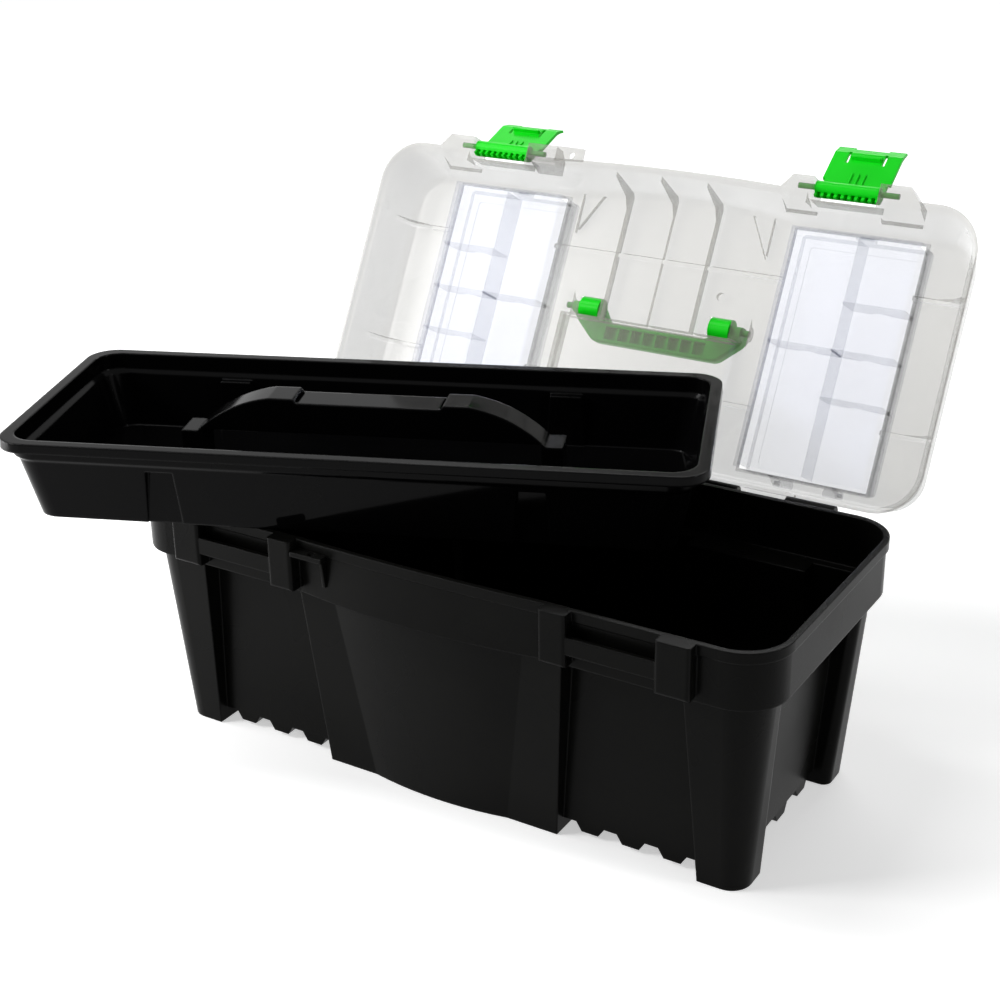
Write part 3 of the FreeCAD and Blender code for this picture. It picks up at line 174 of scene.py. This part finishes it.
def clear_plastic(name, look):
    """Frosted clear plastic: part of the light goes straight through, and a white painted sheen is mixed
    into its colour where it is seen edge-on.
    """
    m, nodes, links, shader = material(name)
    shader.inputs["Alpha"].default_value = look["alpha"]
    shader.inputs["IOR"].default_value = CLEAR_IOR
    shader.inputs["Specular IOR Level"].default_value = CLEAR_SPECULAR
    shader.inputs["Sheen Weight"].default_value = CLEAR_SHEEN
    shader.inputs["Sheen Roughness"].default_value = CLEAR_SHEEN_ROUGH
    # Painted edge sheen: the facing weight mixes the painted white into the colour, more of it where the
    # surface is seen edge-on
    edge = nodes.new("ShaderNodeLayerWeight")
    edge.inputs["Blend"].default_value = PAINTED_EDGE_SHEEN_BLEND
    blend_colours(nodes, links, shader, edge.outputs["Facing"], look["face"], PAINTED_EDGE_SHEEN)
    surface(nodes, links, shader, CLEAR_GRAIN, CLEAR_BUMP, look["rough"], CLEAR_EDGE_RADIUS)
    return m


def dress():
    """Gives each kind of piece its plastic by the start of its name; organiser pieces are the rest."""
    tub = opaque_plastic("tub plastic", TUB_PLASTIC)
    tray = opaque_plastic("tray plastic", TRAY_PLASTIC)
    lid = clear_plastic("lid plastic", LID_PLASTIC)
    bin_plastic = clear_plastic("bin plastic", BIN_PLASTIC)
    green = opaque_plastic("green plastic", GREEN_PLASTIC)
    kinds = {"tub": tub, "hinge_pin": tub, "tray": tray, "lid": lid, "latch": green, "carry_handle": green}
    for name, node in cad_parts.items():
        chosen = bin_plastic
        for start, finish in kinds.items():
            if name.startswith(start):
                chosen = finish
        node.data.materials.clear()
        node.data.materials.append(chosen)


def seen_by_camera(nodes, links):
    """1 for what the camera sees, straight, mirrored or through, and 0 for what only lights the object."""
    path = nodes.new("ShaderNodeLightPath")
    result = path.outputs["Is Camera Ray"]
    for ray in ("Is Glossy Ray", "Is Transmission Ray"):
        either = nodes.new("ShaderNodeMath")
        either.operation = "MAXIMUM"
        links.new(result, either.inputs[0])
        links.new(path.outputs[ray], either.inputs[1])
        result = either.outputs[0]
    return result


def floor_material():
    """Pale floor that keeps its shadow and adds white for the camera, more of it further off."""
    m, nodes, links, shader = material("floor")
    shader.inputs["Base Color"].default_value = FLOOR_COLOUR
    shader.inputs["Roughness"].default_value = FLOOR_ROUGH
    shader.inputs["Specular IOR Level"].default_value = 0.0
    glow = nodes.new("ShaderNodeEmission")
    coords = nodes.new("ShaderNodeTexCoord")
    distance = nodes.new("ShaderNodeVectorMath")
    distance.operation = "LENGTH"
    links.new(coords.outputs["Object"], distance.inputs[0])
    fade = nodes.new("ShaderNodeMapRange")
    fade.interpolation_type = "SMOOTHSTEP"
    fade.inputs["From Min"].default_value = GLOW_NEAR_DISTANCE
    fade.inputs["From Max"].default_value = GLOW_FAR_DISTANCE
    fade.inputs["To Min"].default_value = GLOW_NEAR
    fade.inputs["To Max"].default_value = GLOW_FAR
    links.new(distance.outputs["Value"], fade.inputs["Value"])
    strength = nodes.new("ShaderNodeMath")
    strength.operation = "MULTIPLY"
    links.new(seen_by_camera(nodes, links), strength.inputs[0])
    links.new(fade.outputs["Result"], strength.inputs[1])
    links.new(strength.outputs[0], glow.inputs["Strength"])
    both = nodes.new("ShaderNodeAddShader")
    links.new(shader.outputs[0], both.inputs[0])
    links.new(glow.outputs[0], both.inputs[1])
    links.new(both.outputs[0], nodes["Material Output"].inputs["Surface"])
    return m


def add_floor():
    """A wide floor, just under the object's feet."""
    corners = [(x * FLOOR_HALF, y * FLOOR_HALF, 0) for x, y in ((-1, -1), (1, -1), (1, 1), (-1, 1))]
    mesh = bpy.data.meshes.new("floor")
    mesh.from_pydata(corners, [], [(0, 1, 2, 3)])
    floor = bpy.data.objects.new("floor", mesh)
    floor.location.z = -FLOOR_DROP
    bpy.context.scene.collection.objects.link(floor)
    mesh.materials.append(floor_material())


def add_lamp(name, place, target, size, power):
    data = bpy.data.lights.new(name, "AREA")
    data.shape = "RECTANGLE"
    data.size, data.size_y = size
    data.energy = power
    lamp = bpy.data.objects.new(name, data)
    lamp.location = place
    lamp.rotation_euler = (Vector(target) - Vector(place)).to_track_quat("-Z", "Y").to_euler()
    lamp.visible_camera = False
    bpy.context.scene.collection.objects.link(lamp)


def light():
    """A white world that lights the object only a little, and the lamps."""
    world = bpy.data.worlds.new("studio")
    world.use_nodes = True
    bpy.context.scene.world = world
    nodes = world.node_tree.nodes
    links = world.node_tree.links
    background = nodes["Background"]
    background.inputs["Color"].default_value = WHITE
    strength = nodes.new("ShaderNodeMapRange")
    strength.inputs["To Min"].default_value = WORLD_LIGHT
    strength.inputs["To Max"].default_value = 1.0
    links.new(seen_by_camera(nodes, links), strength.inputs["Value"])
    links.new(strength.outputs["Result"], background.inputs["Strength"])
    for lamp in LAMPS:
        add_lamp(*lamp)


dress()
add_floor()
light()
add_camera()
bpy.context.scene.view_settings.view_transform = "Standard"
